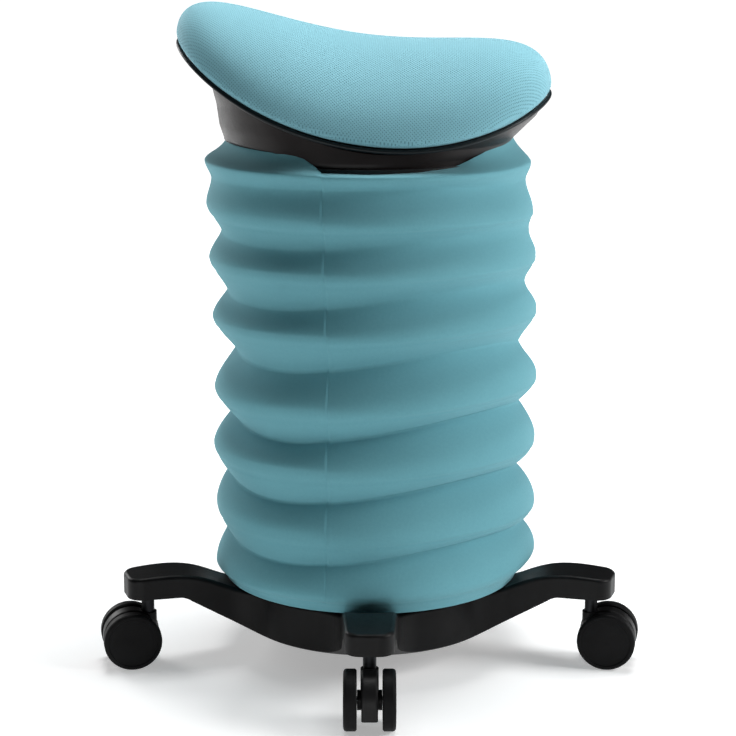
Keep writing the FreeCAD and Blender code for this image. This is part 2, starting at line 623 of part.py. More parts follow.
def sleeve_shell():
    c0, c1 = Part.BSplineCurve(), Part.BSplineCurve()
    p0 = sleeve_outline(0.0)
    p1 = sleeve_outline(SLEEVE_T)
    p1[-1] = V(NECK_R - SLEEVE_T * 0.4, 0, NECK_Z - SLEEVE_T * 0.95)
    p1[-2] = V(130.4 - SLEEVE_T * 0.6, 0, 439.8 - SLEEVE_T)
    c0.interpolate(p0)
    c1.interpolate(p1[::-1])
    e = [c0.toShape(), Part.LineSegment(p0[-1], p1[-1]).toShape(), c1.toShape(),
         Part.LineSegment(p1[0], p0[0]).toShape()]
    return Part.Face(Part.Wire(e)).revolve(V(0, 0, 0), Z, 360)


save("bellows_sleeve", sleeve_shell())
hoops = [Part.makeTorus(r - 3.6, 1.3, V(0, 0, z), Z) for r, z in CRESTS]
save("sleeve_hoops", Part.makeCompound(hoops))
print("parts:", len([f for f in os.listdir("parts") if f.endswith(".step")]))
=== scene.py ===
import json
import math

import bmesh
import bpy
import numpy as np
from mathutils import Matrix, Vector


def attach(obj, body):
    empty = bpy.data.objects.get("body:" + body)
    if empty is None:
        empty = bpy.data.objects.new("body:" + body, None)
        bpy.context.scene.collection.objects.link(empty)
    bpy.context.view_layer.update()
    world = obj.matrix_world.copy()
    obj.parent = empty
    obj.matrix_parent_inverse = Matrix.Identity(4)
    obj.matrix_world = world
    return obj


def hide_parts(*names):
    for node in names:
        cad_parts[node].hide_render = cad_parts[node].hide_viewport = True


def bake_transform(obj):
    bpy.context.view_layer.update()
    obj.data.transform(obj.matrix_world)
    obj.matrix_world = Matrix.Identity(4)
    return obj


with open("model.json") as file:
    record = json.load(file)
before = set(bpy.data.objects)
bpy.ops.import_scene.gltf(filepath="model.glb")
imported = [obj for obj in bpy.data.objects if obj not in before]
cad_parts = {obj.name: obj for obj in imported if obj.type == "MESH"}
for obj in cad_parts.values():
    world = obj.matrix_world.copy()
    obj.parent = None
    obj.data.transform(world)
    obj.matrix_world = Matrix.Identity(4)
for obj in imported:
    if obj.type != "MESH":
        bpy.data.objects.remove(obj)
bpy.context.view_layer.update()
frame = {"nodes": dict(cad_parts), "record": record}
NODES = frame["nodes"]
SCENE = bpy.context.scene
MM = 0.001
RNG = np.random.RandomState(11)

SCENE.view_settings.view_transform = "Standard"
SCENE.view_settings.look = "None"

# ------------------------------------------------------------------ the seat
# the same saddle surface and outline as the frame's cushion, in millimetres
SEAT_A, SEAT_B, SEAT_N = 158.2, 122.0, 2.55
SEAT_YAW = math.radians(-2.4)
SEAT_CX = -4.0
RIM_Z, RIM_AL, RIM_BE, RIM_SL = 471.2, 1.73e-3, -0.96e-3, -0.14
DOME, DOME1, DOME2, DOME_G = 66.1, 1.8, 7.2, 0.46


def rim(x, y):
    return RIM_Z + RIM_AL * x * x + RIM_BE * y * y + RIM_SL * x


def rho_of(x, y, inset=0.0):
    return (np.abs(x / (SEAT_A - inset)) ** SEAT_N + np.abs(y / (SEAT_B - inset)) ** SEAT_N) ** (1 / SEAT_N)


def crown(x, rho):
    return (DOME + DOME1 * x / 100 + DOME2 * (x / 100) ** 2) * np.clip(1 - rho * rho, 0, 1) ** DOME_G


def outline(t, inset=0.0):
    """The seat's rim in its own axes, by angle."""
    c, s = np.cos(t), np.sin(t)
    k = (np.abs(c) ** SEAT_N + np.abs(s) ** SEAT_N) ** (-1 / SEAT_N)
    return (SEAT_A - inset) * c * k, (SEAT_B - inset) * s * k


def place(x, y, z):
    """Seat axes to the row frame, in metres."""
    c, s = math.cos(SEAT_YAW), math.sin(SEAT_YAW)
    return np.stack([(x * c - y * s + SEAT_CX), (x * s + y * c), z], -1) * MM


# ------------------------------------------------------------- mesh helpers
def mesh_object(name, verts, faces, uvs=None, smooth=True):
    me = bpy.data.meshes.new(name)
    me.from_pydata([tuple(map(float, v)) for v in verts], [], [tuple(int(i) for i in f) for f in faces])
    if uvs is not None:
        layer = me.uv_layers.new(name="cloth")
        idx = np.zeros(len(me.loops), np.int32)
        me.loops.foreach_get("vertex_index", idx)
        layer.data.foreach_set("uv", np.asarray(uvs, np.float32)[idx].ravel())
    me.polygons.foreach_set("use_smooth", [smooth] * len(me.polygons))
    me.update()
    o = bpy.data.objects.new(name, me)
    SCENE.collection.objects.link(o)
    return o


def finish_normals(o):
    bm = bmesh.new()
    bm.from_mesh(o.data)
    bmesh.ops.recalc_face_normals(bm, faces=bm.faces)
    bm.to_mesh(o.data)
    bm.free()
    o.data.update()


def applied(o):
    """Bakes the object's modifiers into its mesh."""
    dg = bpy.context.evaluated_depsgraph_get()
    me = bpy.data.meshes.new_from_object(o.evaluated_get(dg))
    o.modifiers.clear()
    o.data = me
    return o


def ring_faces(rows, cols, closed_rows=False, flip=False):
    f = []
    for i in range(rows if closed_rows else rows - 1):
        j = (i + 1) % rows
        for k in range(cols):
            n = (k + 1) % cols
            q = (i * cols + k, i * cols + n, j * cols + n, j * cols + k)
            f.append(q[::-1] if flip else q)
    return f


# ---------------------------------------------------------------- materials
def new_material(name):
    m = bpy.data.materials.new(name)
    m.use_nodes = True
    t = m.node_tree
    t.nodes.clear()
    out = t.nodes.new("ShaderNodeOutputMaterial")
    b = t.nodes.new("ShaderNodeBsdfPrincipled")
    t.links.new(b.outputs[0], out.inputs[0])
    return m, t, b


def srgb(r, g, b):
    return tuple(((c / 255) / 12.92 if c / 255 <= 0.04045 else ((c / 255 + 0.055) / 1.055) ** 2.4) for c in (r, g, b)) + (1.0,)


def node(t, kind, **inputs):
    n = t.nodes.new(kind)
    for k, v in inputs.items():
        if k.startswith("_"):
            setattr(n, k[1:], v)
        else:
            key = int(k[1:]) if k[0] == "i" and k[1:].isdigit() else k.replace("__", " ")
            if isinstance(v, bpy.types.NodeSocket):
                t.links.new(v, n.inputs[key])
            else:
                n.inputs[key].default_value = v
    return n


def maths(t, op, a, b=None, c=None, clamp=False):
    n = t.nodes.new("ShaderNodeMath")
    n.operation = op
    n.use_clamp = clamp
    for i, v in enumerate((a, b, c)):
        if v is None:
            continue
        if isinstance(v, bpy.types.NodeSocket):
            t.links.new(v, n.inputs[i])
        else:
            n.inputs[i].default_value = v
    return n.outputs[0]


def noise_of(t, where, scale, detail=2.0, rough=0.5, dist=0.0):
    n = node(t, "ShaderNodeTexNoise", Vector=where, Scale=scale, Detail=detail, Roughness=rough, Distortion=dist)
    return n.outputs["Fac"] if "Fac" in n.outputs else n.outputs[0]


def ranged(t, v, a, b, c, d, smooth=False):
    n = t.nodes.new("ShaderNodeMapRange")
    if smooth:
        n.interpolation_type = "SMOOTHSTEP"
    t.links.new(v, n.inputs[0])
    for i, x in enumerate((a, b, c, d)):
        n.inputs[i + 1].default_value = x
    return n.outputs[0]


def mixed(t, fac, a, b, kind="MIX"):
    n = t.nodes.new("ShaderNodeMix")
    n.data_type = "RGBA"
    n.blend_type = kind
    for sock, v in ((n.inputs[0], fac), (n.inputs[6], a), (n.inputs[7], b)):
        if isinstance(v, bpy.types.NodeSocket):
            t.links.new(v, sock)
        else:
            sock.default_value = v
    return n.outputs[2]


def bumped(t, height, strength, distance, normal=None):
    n = node(t, "ShaderNodeBump", Strength=strength, Distance=distance, Height=height)
    if normal is not None:
        t.links.new(normal, n.inputs["Normal"])
    return n.outputs[0]


def object_coords(t):
    return t.nodes.new("ShaderNodeTexCoord").outputs["Object"]


def moulded(name, colour, rough, grain=2600.0, depth=0.00004, spread=0.06, worn=0.0, level=0.5):
    """Injection-moulded plastic: spark-eroded grain, slight cloudiness, faint scuffs."""
    m, t, b = new_material(name)
    p = object_coords(t)
    fine = noise_of(t, p, grain, 3.0, 0.6)
    cloud = noise_of(t, p, 28.0, 3.0, 0.55)
    scuff = noise_of(t, p, 160.0, 5.0, 0.7, 0.6)
    dark = tuple(c * (1 - 0.35 * 1) for c in colour[:3]) + (1.0,)
    lite = tuple(min(1, c * 1.25 + 0.002) for c in colour[:3]) + (1.0,)
    base = mixed(t, ranged(t, cloud, 0.3, 0.7, 0.0, 1.0), dark, lite)
    if worn:
        rub = ranged(t, scuff, 0.60, 0.78, 0.0, worn)
        base = mixed(t, rub, base, tuple(min(1, c * 1.8 + 0.02) for c in colour[:3]) + (1.0,))
    t.links.new(base, b.inputs["Base Color"])
    r = maths(t, "ADD", ranged(t, fine, 0.3, 0.7, rough - spread, rough + spread),
              ranged(t, scuff, 0.35, 0.8, -0.02, 0.06))
    t.links.new(r, b.inputs["Roughness"])
    b.inputs["Specular IOR Level"].default_value = level
    t.links.new(bumped(t, fine, 0.55, depth), b.inputs["Normal"])
    return m


def rubbery(name, colour, rough=0.72):
    m, t, b = new_material(name)
    p = object_coords(t)
    n1 = noise_of(t, p, 1500.0, 4.0, 0.65)
    n2 = noise_of(t, p, 60.0, 3.0, 0.6)
    t.links.new(mixed(t, ranged(t, n2, 0.3, 0.7, 0, 1), tuple(c * 0.8 for c in colour[:3]) + (1,),
                      tuple(c * 1.3 + 0.004 for c in colour[:3]) + (1,)), b.inputs["Base Color"])
    t.links.new(ranged(t, n1, 0.3, 0.7, rough - 0.08, rough + 0.1), b.inputs["Roughness"])
    b.inputs["Specular IOR Level"].default_value = 0.35
    t.links.new(bumped(t, n1, 0.5, 0.00008), b.inputs["Normal"])
    return m


def metal(name, colour, rough, brushed=True, cast=False):
    m, t, b = new_material(name)
    tc = object_coords(t)
    mp = node(t, "ShaderNodeMapping", Vector=tc)
    mp.inputs["Scale"].default_value = (1, 1, 40 if brushed else 1)
    fine = noise_of(t, mp.outputs[0], 90.0 if brushed else 1800.0, 5.0, 0.65)
    blot = noise_of(t, tc, 35.0, 4.0, 0.6)
    t.links.new(mixed(t, ranged(t, blot, 0.3, 0.7, 0, 1), tuple(c * 0.86 for c in colour[:3]) + (1,),
                      tuple(min(1, c * 1.08) for c in colour[:3]) + (1,)), b.inputs["Base Color"])
    b.inputs["Metallic"].default_value = 1.0
    t.links.new(ranged(t, fine, 0.25, 0.75, rough * 0.75, rough * 1.3), b.inputs["Roughness"])
    t.links.new(bumped(t, fine if not cast else noise_of(t, tc, 900.0, 5.0, 0.7), 0.4, 0.00003 if not cast else 0.00015),
                b.inputs["Normal"])
    return m


def knit_fabric(name, colour, shade):
    """Smooth stretch knit: fine vertical wales, a soft nap and a faint seam-to-seam variation."""
    m, t, b = new_material(name)
    uv = t.nodes.new("ShaderNodeUVMap")
    uv.uv_map = "cloth"
    sep = node(t, "ShaderNodeSeparateXYZ", Vector=uv.outputs[0])
    u, v = sep.outputs[0], sep.outputs[1]
    pitch_u, pitch_v = 2 * math.pi / 0.00105, 2 * math.pi / 0.0013
    sv = maths(t, "SINE", maths(t, "MULTIPLY", v, pitch_v))
    # V-shaped loops: the wale's phase swings with the course
    phase = maths(t, "ADD", maths(t, "MULTIPLY", u, pitch_u), maths(t, "MULTIPLY", sv, 0.9))
    wale = maths(t, "SINE", phase)
    course = maths(t, "SINE", maths(t, "ADD", maths(t, "MULTIPLY", v, 2 * pitch_v), 0.6))
    knit = maths(t, "ADD", maths(t, "MULTIPLY", wale, 0.7), maths(t, "MULTIPLY", course, 0.3))
    p = object_coords(t)
    fuzz = noise_of(t, p, 2400.0, 2.0, 0.6)
    cloud = noise_of(t, p, 9.0, 3.0, 0.5)
    strand = noise_of(t, p, 420.0, 3.0, 0.6)
    f = maths(t, "ADD", ranged(t, knit, -1.0, 1.0, 0.0, 0.30), ranged(t, fuzz, 0.25, 0.75, 0.0, 0.25))
    f = maths(t, "ADD", f, ranged(t, cloud, 0.3, 0.7, 0.0, 0.25))
    f = maths(t, "ADD", f, ranged(t, strand, 0.25, 0.75, 0.0, 0.2), clamp=True)
    t.links.new(mixed(t, f, shade, colour), b.inputs["Base Color"])
    t.links.new(ranged(t, fuzz, 0.2, 0.8, 0.78, 0.95), b.inputs["Roughness"])
    b.inputs["Specular IOR Level"].default_value = 0.25
    b.inputs["Sheen Weight"].default_value = 0.22
    b.inputs["Sheen Roughness"].default_value = 0.45
    b.inputs["Sheen Tint"].default_value = (0.55, 0.85, 0.92, 1.0)
    n1 = bumped(t, knit, 0.35, 0.00012)
    n2 = bumped(t, fuzz, 0.25, 0.0001, n1)
    t.links.new(n2, b.inputs["Normal"])
    return m


def spacer_mesh(name, colour, hole_shade):
    """Knitted spacer mesh: rows of small holes on a diamond lattice, with yarn between them; the holes carry painted
    shade.
    """
    m, t, b = new_material(name)
    uv = t.nodes.new("ShaderNodeUVMap")
    uv.uv_map = "cloth"
    p = object_coords(t)
    wob = node(t, "ShaderNodeTexNoise", Vector=p, Scale=35.0, Detail=2.0)
    shift = node(t, "ShaderNodeVectorMath", _operation="MULTIPLY_ADD", i0=wob.outputs["Color"])
    shift.inputs[1].default_value = (0.0006, 0.0006, 0.0)
    t.links.new(uv.outputs[0], shift.inputs[2])
    sep = node(t, "ShaderNodeSeparateXYZ", Vector=shift.outputs[0])
    k = 2 * math.pi / 0.0030
    cu = maths(t, "COSINE", maths(t, "MULTIPLY", sep.outputs[0], k))
    cv = maths(t, "COSINE", maths(t, "MULTIPLY", sep.outputs[1], k))
    lattice = maths(t, "MULTIPLY", cu, cv)
    pore = ranged(t, lattice, 0.30, 0.80, 0.0, 1.0, True)
    yarn = maths(t, "SINE", maths(t, "MULTIPLY", sep.outputs[0], 2 * math.pi / 0.00042))
    fuzz = noise_of(t, p, 2600.0, 2.0, 0.6)
    cloud = noise_of(t, p, 11.0, 3.0, 0.5)
    body = mixed(t, maths(t, "ADD", ranged(t, fuzz, 0.25, 0.75, 0.0, 0.55),
                          ranged(t, cloud, 0.3, 0.7, 0.0, 0.45), clamp=True),
                 tuple(c * 0.88 for c in colour[:3]) + (1,), colour)
    # painted shade: the pores are mixed towards a dark colour that stands for the shade inside the holes
    t.links.new(mixed(t, maths(t, "MULTIPLY", pore, 0.6), body, hole_shade), b.inputs["Base Color"])
    t.links.new(ranged(t, fuzz, 0.2, 0.8, 0.72, 0.9), b.inputs["Roughness"])
    b.inputs["Specular IOR Level"].default_value = 0.28
    b.inputs["Sheen Weight"].default_value = 0.2
    b.inputs["Sheen Roughness"].default_value = 0.5
    b.inputs["Sheen Tint"].default_value = (0.7, 0.93, 1.0, 1.0)
    n1 = bumped(t, maths(t, "MULTIPLY", pore, -1.0), 0.7, 0.00035)
    n2 = bumped(t, maths(t, "ADD", maths(t, "MULTIPLY", yarn, 0.5), fuzz), 0.3, 0.00008, n1)
    t.links.new(n2, b.inputs["Normal"])
    return m


def vinyl_skin(name, colour, rough=0.3):
    """Glossy coated vinyl with a fine pebble grain and soft creases."""
    m, t, b = new_material(name)
    p = object_coords(t)
    cells = node(t, "ShaderNodeTexVoronoi", Vector=p, Scale=850.0, _feature="DISTANCE_TO_EDGE")
    grain = ranged(t, cells.outputs["Distance"], 0.0, 0.25, 0.0, 1.0, True)
    crease = noise_of(t, p, 45.0, 4.0, 0.55, 0.8)
    cloud = noise_of(t, p, 14.0, 2.0, 0.5)
    t.links.new(mixed(t, ranged(t, cloud, 0.3, 0.7, 0, 1), tuple(c * 0.75 for c in colour[:3]) + (1,),
                      tuple(c * 1.25 for c in colour[:3]) + (1,)), b.inputs["Base Color"])
    t.links.new(maths(t, "ADD", ranged(t, grain, 0, 1, rough + 0.1, rough), ranged(t, crease, 0.3, 0.7, -0.03, 0.05)),
                b.inputs["Roughness"])
    b.inputs["Specular IOR Level"].default_value = 0.22
    b.inputs["Coat Weight"].default_value = 0.05
    b.inputs["Coat Roughness"].default_value = 0.22
    n1 = bumped(t, grain, 0.35, 0.00008)
    n2 = bumped(t, crease, 0.25, 0.0008, n1)
    t.links.new(n2, b.inputs["Normal"])
    return m


def foam_material(name, colour):
    m, t, b = new_material(name)
    p = object_coords(t)
    cells = node(t, "ShaderNodeTexVoronoi", Vector=p, Scale=900.0)
    big = noise_of(t, p, 60.0, 3.0)
    # painted shade: each cell is darker towards its sunken centre, as shade in the pores
    t.links.new(mixed(t, ranged(t, cells.outputs["Distance"], 0.0, 0.7, 0, 1), tuple(c * 0.7 for c in colour[:3]) + (1,), colour),
                b.inputs["Base Color"])
    t.links.new(ranged(t, big, 0.3, 0.7, 0.85, 0.98), b.inputs["Roughness"])
    t.links.new(bumped(t, cells.outputs["Distance"], 0.8, 0.0004), b.inputs["Normal"])
    return m


LOOK = {
    "base_nylon": moulded("base_nylon", srgb(8, 8, 9), 0.44, 2400.0, 0.00004, 0.05, 0.08, 0.15),
    "caster_nylon": moulded("caster_nylon", srgb(9, 9, 10), 0.44, 2600.0, 0.00003, 0.05, 0.05, 0.18),
    "wheel_nylon": moulded("wheel_nylon", srgb(7, 7, 8), 0.55, 2200.0, 0.00004, 0.06, 0.08, 0.10),
    "black_steel": metal("black_steel", srgb(40, 41, 43), 0.42, True),
    "bright_steel": metal("bright_steel", srgb(190, 192, 195), 0.28, True),
    "chromed_rod": metal("chromed_rod", srgb(215, 217, 220), 0.12, True),
    "cast_alloy": metal("cast_alloy", srgb(150, 152, 155), 0.45, False, True),
    "bronze": metal("bronze", srgb(176, 132, 74), 0.36, False),
    "white_nylon": moulded("white_nylon", srgb(214, 212, 204), 0.45, 1800.0, 0.00003),
    "rubber": rubbery("rubber", srgb(28, 28, 28)),
    "black_plastic": moulded("black_plastic", srgb(24, 24, 25), 0.45, 2000.0, 0.00004),
    "sleeve_fabric": knit_fabric("sleeve_fabric", srgb(108, 168, 179), srgb(89, 146, 158)),
    # the second seat_mesh colour is painted shade for the mesh holes
    "seat_mesh": spacer_mesh("seat_mesh", srgb(131, 190, 204), srgb(48, 102, 116)),
    "foam": foam_material("foam", srgb(214, 204, 170)),
    "piping": vinyl_skin("piping", srgb(16, 24, 27), 0.38),
    "vinyl": vinyl_skin("vinyl", srgb(22, 16, 16), 0.38),
}
SLOT_OF = {s["node"]: s["material_slot"] for s in frame["record"]["subparts"]}


def dress(o, slot):
    o.data.materials.clear()
    o.data.materials.append(LOOK[slot])


for n, o in NODES.items():
    dress(o, SLOT_OF[n])

# ------------------------------------------------------------------- camera
ELEV = math.radians(13.0)
cam = bpy.data.cameras.new("camera")
cam.sensor_width = 36.0
cam.lens = 36.0 * 2200.0 / 736.0
cam.clip_start, cam.clip_end = 0.05, 100.0
camera = bpy.data.objects.new("camera", cam)
SCENE.collection.objects.link(camera)
AIM = Vector((-0.0013, 0.0, 0.2480))
camera.location = AIM + Vector((0.0, -math.cos(ELEV), math.sin(ELEV))) * 1.925
camera.rotation_euler = (math.radians(90.0) - ELEV, 0.0, 0.0)
SCENE.camera = camera

# ------------------------------------------------------------------- sleeve
# rings from the hem up: kind, height, radius, x shift, tilt (right side up),
# front lift, side-to-side twist, all in millimetres; "sharp" is how pointed
# the valley is (0 rounded, 1 pointed)
SLEEVE_T = 1.3
CREST = [  # bottom to top
    (83.3, 141.2, 5.3, 4.8, 2.5, 0.0),
    (131.1, 140.5, 5.3, 0.7, 4.5, 0.0),
    (186.4, 140.7, 4.0, 1.4, 5.5, 0.0),
    (239.2, 140.9, 4.7, 5.3, 5.5, 0.0),
    (300.1, 140.9, 4.3, 3.2, 5.5, 0.0),
    (349.3, 140.9, 2.5, 0.9, 6.0, 0.0),
    (392.3, 140.0, 0.4, -2.0, 5.0, 0.0),
    (431.4, 139.7, -1.8, -1.0, 3.0, 0.0),
]
VALLEY = [
    (109.5, 127.7, 6.6, 2.4, 3.0, -8.5, 0.75),
    (162.2, 123.9, 4.4, 1.0, 3.0, -9.5, 0.75),
    (216.1, 122.4, 7.7, 4.1, 2.5, -9.5, 0.60),
    (271.2, 122.4, 7.8, 1.9, 6.5, -9.0, 0.35),
    (323.0, 128.5, 6.0, 3.2, 7.0, -7.0, 0.20),
    (372.1, 132.1, 5.1, -0.4, 5.0, -5.5, 0.10),
    (415.7, 134.8, -0.9, -0.9, 7.0, -1.0, 0.10),
]
HOLLOW = {109.5: 2.0, 162.2: 3.0, 216.1: 3.0, 271.2: 3.5, 323.0: 4.5, 372.1: 5.0, 415.7: 5.0}
SEAM = math.radians(-108.0)


def ring_at(ring, phi):
    """Radius, height and centre of one ring at each angle; -90 degrees is the front."""
    z, r, cx, tilt, front, twist = ring[:6]
    zz = z + tilt * np.cos(phi) + front * np.maximum(0, -np.sin(phi)) + twist * np.sin(2 * phi)
    # the cloth is drawn in more at the front than at the sides
    return r - HOLLOW.get(z, 0.0) * np.maximum(0, -np.sin(phi)) ** 2, zz, cx


def neck_height(x):
    """Where the sleeve's neck meets the skirt, by x; it drops behind the skirt's overlap at x -50 to -38."""
    return np.interp(x, (-135, -75, -56, -47, -39, 0, 40, 75, 112, 135),
                     (452, 450, 446.5, 441.5, 436.4, 435.4, 436.4, 439, 451, 455))


def sleeve_azimuths():
    base = np.linspace(-math.pi, math.pi, 300, endpoint=False)
    fine = SEAM + np.array([-5, -3.6, -2.6, -1.9, -1.35, -0.9, -0.5, -0.2, 0.2, 0.5, 0.9, 1.35, 1.9, 2.6, 3.6, 5]) / 140.0
    far = base[np.abs(base - SEAM) > 6.2 / 140.0]
    return np.sort(np.concatenate([far, fine]))


def sleeve_grid():
    phi = sleeve_azimuths()
    arc = (phi - SEAM) * 140.0                # millimetres from the seam
    rows, marks = [], []

    near_seam = np.exp(-(arc / 34.0) ** 2)

    def add(r, z, cx, sharp=0.0):
        # the seam runs straight up although the rings bulge and shift
        xs = float(np.interp(np.mean(z), (70, 270, 430), (-36.5, -34.0, -39.5)))
        turn = -math.acos((xs - cx) / float(np.mean(r))) - SEAM
        a = phi + turn * near_seam
        rows.append((r * np.cos(a) + cx, r * np.sin(a), z))

    hem = [(126.4, 66.9), (127.6, 66.45), (128.9, 66.7), (129.6, 67.6), (130.0, 68.6)]
    for r, z in hem:
        add(r + 0 * phi, z + 0 * phi, 1.0)
    keys = []
    first = (69.6, 130.3, 1.0, 0.0, 0.0, 0.0, 0.3)
    keys.append(("v", first))
    for i in range(8):
        keys.append(("c", CREST[i]))
        if i < 7:
            keys.append(("v", VALLEY[i]))
    steps = 15
    for a, b in zip(keys[:-1], keys[1:]):
        (ka, ra), (kb, rb) = a, b
        r0, z0, c0 = ring_at(ra, phi)
        r1, z1, c1 = ring_at(rb, phi)
        valley = rb if ka == "c" else ra
        sharp = valley[6]
        for k in range(steps + (1 if b is keys[-1] else 0)):
            u = k / steps
            uc = u if ka == "c" else 1 - u        # 0 at the crest, 1 at the valley
            f = (1 - sharp) * (1 - math.cos(math.pi * uc)) / 2 + sharp * (0.35 * uc ** 2 + 0.65 * (1 - math.sqrt(max(0, 1 - (0.93 * uc) ** 2))) / (1 - math.sqrt(1 - 0.93 ** 2)))
            if ka == "c":
                r = r0 - (r0 - r1) * f
            else:
                r = r1 - (r1 - r0) * f
            z = z0 + (z1 - z0) * u
            cx = c0 + (c1 - c0) * u
            if k == 0:
                marks.append(len(rows))
            # hoop channel's stitched line on the lower side of each crest
            if ka == "v" and b is not keys[-1]:
                s = uc * abs(float(np.mean(z1 - z0)))
                r = r - 1.0 * math.exp(-((s - 8.0) / 1.1) ** 2) - 0.6 * min(1.0, max(0.0, (s - 7.0) / 3.0)) * (1 - uc)
            add(r, z, cx)
    marks.append(len(rows) - 1)
    # neck: rolls over the last hoop and runs in under the skirt, hollow at the sides
    r0, z0, c0 = ring_at(CREST[-1], phi)
    top = neck_height(130.0 * np.cos(phi))
    lift = np.clip((top - 436.0) / 16.0, 0, 1)
    ctrl_r = (r0, r0 - 0.2, 131.0 - 5.5 * lift, 121.8 - 0.5 * lift)
    ctrl_z = (z0, z0 + 2.6 + 0.6 * lift, top - 12.0 * lift, top)
    for k in range(1, 15):
        u = k / 14
        w = ((1 - u) ** 3, 3 * u * (1 - u) ** 2, 3 * u * u * (1 - u), u ** 3)
        add(sum(a * b for a, b in zip(w, ctrl_r)), sum(a * b for a, b in zip(w, ctrl_z)), c0 * (1 - u))
    P = np.array([np.stack(r, -1) for r in rows])     # rows x azimuths x 3
    # soft irregularity of hand-pulled cloth, and the seam with its small step
    x, y, z = P[..., 0], P[..., 1], P[..., 2]
    R = np.hypot(x, y)
    ph = np.arctan2(y, x)
    wave = np.zeros_like(z)
    for n, m, a in ((2, 0.013, 0.35), (3, 0.021, 0.30), (5, 0.034, 0.22), (7, 0.047, 0.15), (11, 0.08, 0.10)):
        wave += a * np.sin(n * ph + m * z + RNG.uniform(0, 6.28)) * np.cos(m * 1.7 * z + RNG.uniform(0, 6.28))
    fade = np.clip((z - 72) / 12, 0, 1) * np.clip((446 - z) / 14, 0, 1)
    near = np.exp(-np.abs(arc) / 22.0) * np.where(arc < 0, 1.0, -1.0) * (1 - np.exp(-(arc / 1.4) ** 2))
    groove = np.exp(-(arc / 0.95) ** 2)
    ridge = np.exp(-((np.abs(arc) - 2.4) / 1.0) ** 2)
    dr = fade * (wave - 0.42 * groove[None, :] + 0.10 * ridge[None, :])
    P[..., 0] += dr * np.cos(ph)
    P[..., 1] += dr * np.sin(ph)
    P[..., 2] += fade * 0.6 * near[None, :]
    return phi, P, marks


def grid_normals(P):
    dv = np.gradient(P, axis=0)
    du = np.roll(P, -1, 1) - np.roll(P, 1, 1)
    n = np.cross(du, dv)
    n /= np.linalg.norm(n, axis=-1, keepdims=True) + 1e-12
    out = (n[..., 0] * P[..., 0] + n[..., 1] * P[..., 1]) > 0
    if out.mean() < 0.5:
        n = -n
    return n


phi, P, marks = sleeve_grid()
N = grid_normals(P)
inner = P - N * SLEEVE_T
length = np.zeros(P.shape[:2])
length[1:] = np.cumsum(np.linalg.norm(np.diff(P, axis=0), axis=-1), axis=0)
circ = (phi - SEAM) * 140.0


def band(name, i0, i1):
    """Closed strip of the sleeve between two rows, with inside and outside faces."""
    out, ins = P[i0:i1 + 1], inner[i0:i1 + 1]
    rows, cols = out.shape[:2]
    # the faces that close the ring take u a full turn on, so that the cloth's coordinates don't wrap
    verts = np.concatenate([out.reshape(-1, 3), ins[::-1].reshape(-1, 3)]) * MM
    faces = ring_faces(2 * rows, cols, closed_rows=True)
    me = bpy.data.meshes.new(name)
    me.from_pydata([tuple(map(float, v)) for v in verts], [], faces)
    layer = me.uv_layers.new(name="cloth")
    L = length[i0:i1 + 1]
    vv = np.concatenate([L, L[::-1]]) * MM
    data = []
    for i in range(2 * rows):
        j = (i + 1) % (2 * rows)
        for k in range(cols):
            n = (k + 1) % cols
            u0 = circ[k] * MM
            u1 = circ[n] * MM if n else (circ[0] + 2 * math.pi * 140.0) * MM
            data += [(u0, vv[i, k]), (u1, vv[i, n]), (u1, vv[j, n]), (u0, vv[j, k])]
    layer.data.foreach_set("uv", np.array(data, np.float32).ravel())
    me.polygons.foreach_set("use_smooth", [True] * len(me.polygons))
    nr = np.concatenate([N[i0:i1 + 1].reshape(-1, 3), -N[i0:i1 + 1][::-1].reshape(-1, 3)])
    o = bpy.data.objects.new(name, me)
    SCENE.collection.objects.link(o)
    vol = 0.0
    me.update()
    bm = bmesh.new()
    bm.from_mesh(me)
    vol = bm.calc_volume(signed=True)
    if vol < 0:
        bmesh.ops.reverse_faces(bm, faces=bm.faces)
        bm.to_mesh(me)
    bm.free()
    me.update()
    me.normals_split_custom_set_from_vertices([tuple(map(float, v)) for v in nr])
    o.data.materials.append(LOOK["sleeve_fabric"])
    return o


# three bands meet in valleys, one for each joint that the cloth spans
J1 = marks[4]     # valley at z 162
J2 = marks[8]     # valley at z 271
low = band("sleeve_lower", 0, J1)
mid = band("sleeve_middle", J1, J2)
top = band("sleeve_upper", J2, len(P) - 1)
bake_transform(low)
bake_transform(mid)
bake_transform(top)
for o in (low, mid, top):
    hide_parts("bellows_sleeve")

print("sleeve marks", marks, "rows", len(P), "cut lengths",
      [round(float(np.mean(length[b] - length[a])), 1) for a, b in ((0, J1), (J1, J2), (J2, len(P) - 1))])

# hoops inside the crests, split like the cloth
def hoop(r, z, cx, tilt, front, wire=1.3, n=120, m=10):
    t = np.linspace(0, 2 * math.pi, n, endpoint=False)
    a = np.linspace(0, 2 * math.pi, m, endpoint=False)
    rr = r + wire * np.cos(a)[None, :]
    x = rr * np.cos(t)[:, None] + cx
    y = rr * np.sin(t)[:, None]
    z = z + wire * np.sin(a)[None, :] + tilt * np.cos(t)[:, None] + front * np.maximum(0, -np.sin(t))[:, None]
    v = np.stack([x, y, z], -1).reshape(-1, 3)
    f = []
    for i in range(n):
        j = (i + 1) % n
        for k in range(m):
            q = (k + 1) % m
            f.append((i * m + k, j * m + k, j * m + q, i * m + q))
    return v * MM, f


def hoops(name, ids):
    vs, fs, off = [], [], 0
    for i in ids:
        z, r, cx, tilt, front = CREST[i][:5]
        v, f = hoop(r - 3.7, z, cx, tilt, front)
        vs.append(v)
        fs += [tuple(q + off for q in g) for g in f]
        off += len(v)
    o = mesh_object(name, np.concatenate(vs), fs)
    finish_normals(o)
    dress(o, "bright_steel")
    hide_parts("sleeve_hoops")
    return o


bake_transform(hoops("hoops_lower", (0, 1)))
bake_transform(hoops("hoops_middle", (2, 3)))
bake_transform(hoops("hoops_upper", (4, 5, 6, 7)))


